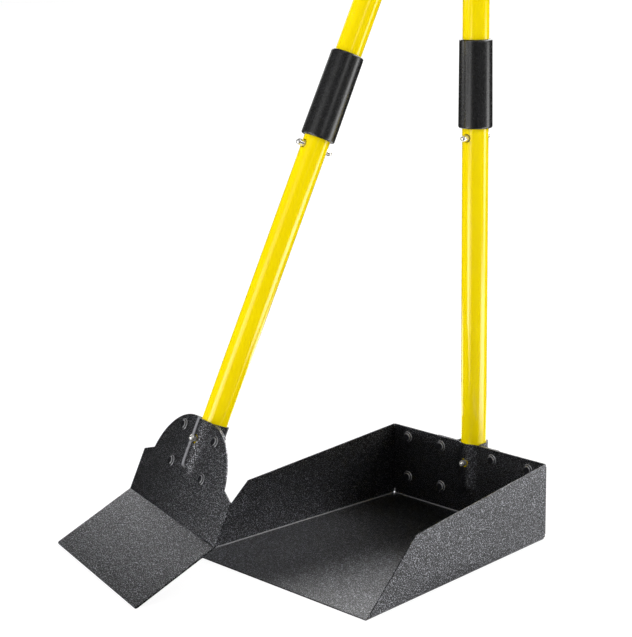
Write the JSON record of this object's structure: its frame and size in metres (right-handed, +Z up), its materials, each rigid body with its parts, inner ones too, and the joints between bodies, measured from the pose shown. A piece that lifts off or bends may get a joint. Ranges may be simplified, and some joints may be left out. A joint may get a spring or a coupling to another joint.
{
  "type": "pooper scooper",
  "caption": "Folded steel pan on an upright two-section pole, with a bent steel spade on its own leaning pole, for picking up pet waste.",
  "frame": {"origin": "middle of the pan's flat underside, which rests on the floor", "axes": "+Z up along the pan's pole, -Y out of the pan's mouth, +X to the right seen from the mouth"},
  "size_m": [0.3433, 0.4561, 0.8886],
  "materials": {
    "hammered_steel": "hammertone black-grey paint, semi-gloss, with a fine pebbled surface",
    "rivet_steel": "black painted over with the sheet, semi-gloss",
    "yellow_tube": "bright yellow gloss enamel",
    "black_sleeve": "satin black",
    "spring_steel": "bare spring steel",
    "bright_button": "bright plated",
    "black_grip": "matt black",
    "black_cap": "satin black moulded"
  },
  "bodies": {
    "tray": {"tray_pan": "hammered_steel", "tray_saddle": "hammered_steel", "tray_rivet_1": "rivet_steel", "tray_rivet_2": "rivet_steel", "tray_rivet_3": "rivet_steel", "tray_rivet_4": "rivet_steel", "tray_rivet_5": "rivet_steel", "tray_rivet_6": "rivet_steel", "tray_rivet_7": "rivet_steel", "tray_rivet_8": "rivet_steel", "tray_lower_tube": "yellow_tube", "tray_upper_tube": "yellow_tube", "tray_joint_sleeve": "black_sleeve", "tray_socket_clip": "spring_steel", "tray_joint_clip": "spring_steel", "tray_grip": "black_grip", "tray_end_cap": "black_cap"},
    "tray_socket_front": {"tray_socket_button_front": "bright_button"},
    "tray_socket_rear": {"tray_socket_button_rear": "bright_button"},
    "tray_joint_front": {"tray_joint_button_front": "bright_button"},
    "tray_joint_rear": {"tray_joint_button_rear": "bright_button"},
    "spade": {"spade_blade": "hammered_steel", "spade_saddle": "hammered_steel", "spade_rivet_1": "rivet_steel", "spade_rivet_2": "rivet_steel", "spade_rivet_3": "rivet_steel", "spade_rivet_4": "rivet_steel", "spade_lower_tube": "yellow_tube", "spade_upper_tube": "yellow_tube", "spade_joint_sleeve": "black_sleeve", "spade_socket_clip": "spring_steel", "spade_joint_clip": "spring_steel", "spade_grip": "black_grip", "spade_end_cap": "black_cap"},
    "spade_socket_front": {"spade_socket_button_front": "bright_button"},
    "spade_socket_rear": {"spade_socket_button_rear": "bright_button"},
    "spade_joint_front": {"spade_joint_button_front": "bright_button"},
    "spade_joint_rear": {"spade_joint_button_rear": "bright_button"}
  },
  "joints": [
    {"name": "spade_lift", "type": "slide", "parent": "tray", "child": "spade", "axis": [0, 0, 1], "range_m": [0, 0.3]},
    {"name": "tray_socket_front_press", "type": "slide", "parent": "tray", "child": "tray_socket_front", "axis": [0, 1, 0], "range_m": [0, 0.0058], "stiffness_N_per_m": 1200, "springref_m": -0.002, "deforming": ["tray_socket_clip"]},
    {"name": "tray_socket_rear_press", "type": "slide", "parent": "tray", "child": "tray_socket_rear", "axis": [0, -1, 0], "range_m": [0, 0.0058], "stiffness_N_per_m": 1200, "springref_m": -0.002, "deforming": ["tray_socket_clip"]},
    {"name": "tray_joint_front_press", "type": "slide", "parent": "tray", "child": "tray_joint_front", "axis": [0, 1, 0], "range_m": [0, 0.0073], "stiffness_N_per_m": 1200, "springref_m": -0.002, "deforming": ["tray_joint_clip"]},
    {"name": "tray_joint_rear_press", "type": "slide", "parent": "tray", "child": "tray_joint_rear", "axis": [0, -1, 0], "range_m": [0, 0.0073], "stiffness_N_per_m": 1200, "springref_m": -0.002, "deforming": ["tray_joint_clip"]},
    {"name": "spade_socket_front_press", "type": "slide", "parent": "spade", "child": "spade_socket_front", "axis": [0.2397, 0.8823, -0.4051], "range_m": [0, 0.0058], "stiffness_N_per_m": 1200, "springref_m": -0.002, "deforming": ["spade_socket_clip"]},
    {"name": "spade_socket_rear_press", "type": "slide", "parent": "spade", "child": "spade_socket_rear", "axis": [-0.2397, -0.8823, 0.4051], "range_m": [0, 0.0058], "stiffness_N_per_m": 1200, "springref_m": -0.002, "deforming": ["spade_socket_clip"]},
    {"name": "spade_joint_front_press", "type": "slide", "parent": "spade", "child": "spade_joint_front", "axis": [0.2397, 0.8823, -0.4051], "range_m": [0, 0.0073], "stiffness_N_per_m": 1200, "springref_m": -0.002, "deforming": ["spade_joint_clip"]},
    {"name": "spade_joint_rear_press", "type": "slide", "parent": "spade", "child": "spade_joint_rear", "axis": [-0.2397, -0.8823, 0.4051], "range_m": [0, 0.0073], "stiffness_N_per_m": 1200, "springref_m": -0.002, "deforming": ["spade_joint_clip"]}
  ]
}
